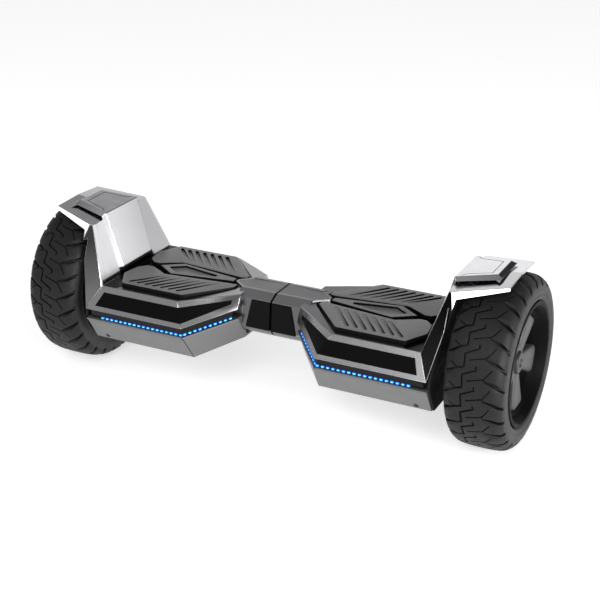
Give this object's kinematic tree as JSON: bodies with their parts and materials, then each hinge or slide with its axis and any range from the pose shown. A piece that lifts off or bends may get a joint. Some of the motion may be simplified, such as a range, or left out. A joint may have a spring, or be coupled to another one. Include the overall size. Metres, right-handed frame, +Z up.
{
  "type": "self balancing hoverboard",
  "caption": "Self balancing board with two hub-motor wheels, swivelling halves with rubber foot pads, folded fenders over the tyres and blue light strips.",
  "frame": {"origin": "on the ground, midway between the wheels", "axes": "+Z up, +X along the axle line to the right half, -Y front with the light strips"},
  "size_m": [0.657, 0.216, 0.2251],
  "materials": {
    "silver_shell": "plated satin chrome",
    "silver_lower": "painted silver, satin",
    "dark_steel": "blackened",
    "gloss_black": "high gloss",
    "channel_black": "matt",
    "led_blue": "lit",
    "grey_panel": "satin",
    "chrome_fender": "chrome plated",
    "chrome_panel": "chrome plated",
    "matt_black": "matt",
    "cast_alloy": "as cast",
    "bright_steel": "ground",
    "winding_steel": "laminated, copper wound",
    "board_green": "solder mask",
    "rim_black": "painted black",
    "tyre_rubber": "matt rubber",
    "cover_black": "satin",
    "cap_black": "satin",
    "pad_grey": "satin rubber",
    "battery_wrap": "heat-shrink film",
    "button_black": "satin",
    "port_black": "satin",
    "cap_rubber": "matt rubber",
    "bush_white": "acetal",
    "cable_black": "sheathed"
  },
  "bodies": {
    "left_half": {"left_upper_casing": "silver_shell", "left_lower_casing": "silver_lower", "left_casing_screws": "dark_steel", "left_front_insert": "gloss_black", "left_rear_insert": "gloss_black", "left_channel_bar": "channel_black", "left_front_leds": "led_blue", "left_neck_top_panel": "grey_panel", "left_neck_inserts": "gloss_black", "left_fender_shell": "chrome_fender", "left_fender_panel": "chrome_panel", "left_wheel_liner": "matt_black", "left_deck_spear": "pad_grey", "left_chassis": "cast_alloy", "left_axle_clamp": "cast_alloy", "left_axle": "bright_steel", "left_stator": "winding_steel", "left_sensor_board": "board_green", "battery_pack": "battery_wrap", "charge_port": "port_black", "swivel_tube": "bright_steel", "retaining_ring": "bright_steel", "cable_harness": "cable_black"},
    "right_half": {"right_upper_casing": "silver_shell", "right_lower_casing": "silver_lower", "right_casing_screws": "dark_steel", "right_front_insert": "gloss_black", "right_rear_insert": "gloss_black", "right_channel_bar": "channel_black", "right_front_leds": "led_blue", "right_neck_top_panel": "grey_panel", "right_neck_inserts": "gloss_black", "right_fender_shell": "chrome_fender", "right_fender_panel": "chrome_panel", "right_wheel_liner": "matt_black", "right_deck_spear": "pad_grey", "right_chassis": "cast_alloy", "right_axle_clamp": "cast_alloy", "right_axle": "bright_steel", "right_stator": "winding_steel", "right_sensor_board": "board_green", "main_board": "board_green", "swivel_bush": "bush_white"},
    "left_wheel": {"left_motor_shell": "rim_black", "left_motor_cover": "rim_black", "left_tyre": "tyre_rubber", "left_wheel_cover": "cover_black", "left_hub_cap": "cap_black"},
    "right_wheel": {"right_motor_shell": "rim_black", "right_motor_cover": "rim_black", "right_tyre": "tyre_rubber", "right_wheel_cover": "cover_black", "right_hub_cap": "cap_black"},
    "left_front_pad": {"left_front_pad": "pad_grey"},
    "left_rear_pad": {"left_rear_pad": "pad_grey"},
    "right_front_pad": {"right_front_pad": "pad_grey"},
    "right_rear_pad": {"right_rear_pad": "pad_grey"},
    "power_button": {"power_button": "button_black"},
    "charge_cap": {"charge_cap": "cap_rubber"}
  },
  "joints": [
    {"name": "centre_swivel", "type": "hinge", "parent": "left_half", "child": "right_half", "pos_m": [0, 0, 0.108], "axis": [1, 0, 0], "range_deg": [-15, 15]},
    {"name": "left_wheel_spin", "type": "hinge", "parent": "left_half", "child": "left_wheel", "pos_m": [-0.291, 0, 0.108], "axis": [1, 0, 0], "continuous": true},
    {"name": "right_wheel_spin", "type": "hinge", "parent": "right_half", "child": "right_wheel", "pos_m": [0.291, 0, 0.108], "axis": [1, 0, 0], "continuous": true},
    {"name": "left_front_pad_press", "type": "slide", "parent": "left_half", "child": "left_front_pad", "axis": [0, 0, -1], "range_m": [0, 0.0012], "stiffness_N_per_m": 3000, "springref_m": -0.002},
    {"name": "left_rear_pad_press", "type": "slide", "parent": "left_half", "child": "left_rear_pad", "axis": [0, 0, -1], "range_m": [0, 0.0012], "stiffness_N_per_m": 3000, "springref_m": -0.002},
    {"name": "right_front_pad_press", "type": "slide", "parent": "right_half", "child": "right_front_pad", "axis": [0, 0, -1], "range_m": [0, 0.0012], "stiffness_N_per_m": 3000, "springref_m": -0.002},
    {"name": "right_rear_pad_press", "type": "slide", "parent": "right_half", "child": "right_rear_pad", "axis": [0, 0, -1], "range_m": [0, 0.0012], "stiffness_N_per_m": 3000, "springref_m": -0.002},
    {"name": "power_button_press", "type": "slide", "parent": "left_half", "child": "power_button", "axis": [0, -0.8163, -0.5776], "range_m": [0, 0.0012], "stiffness_N_per_m": 600, "springref_m": -0.002},
    {"name": "charge_cap_flap", "type": "hinge", "parent": "left_half", "child": "charge_cap", "pos_m": [-0.152, 0.08788, 0.13282], "axis": [1, 0, 0], "range_deg": [0, 100]}
  ]
}
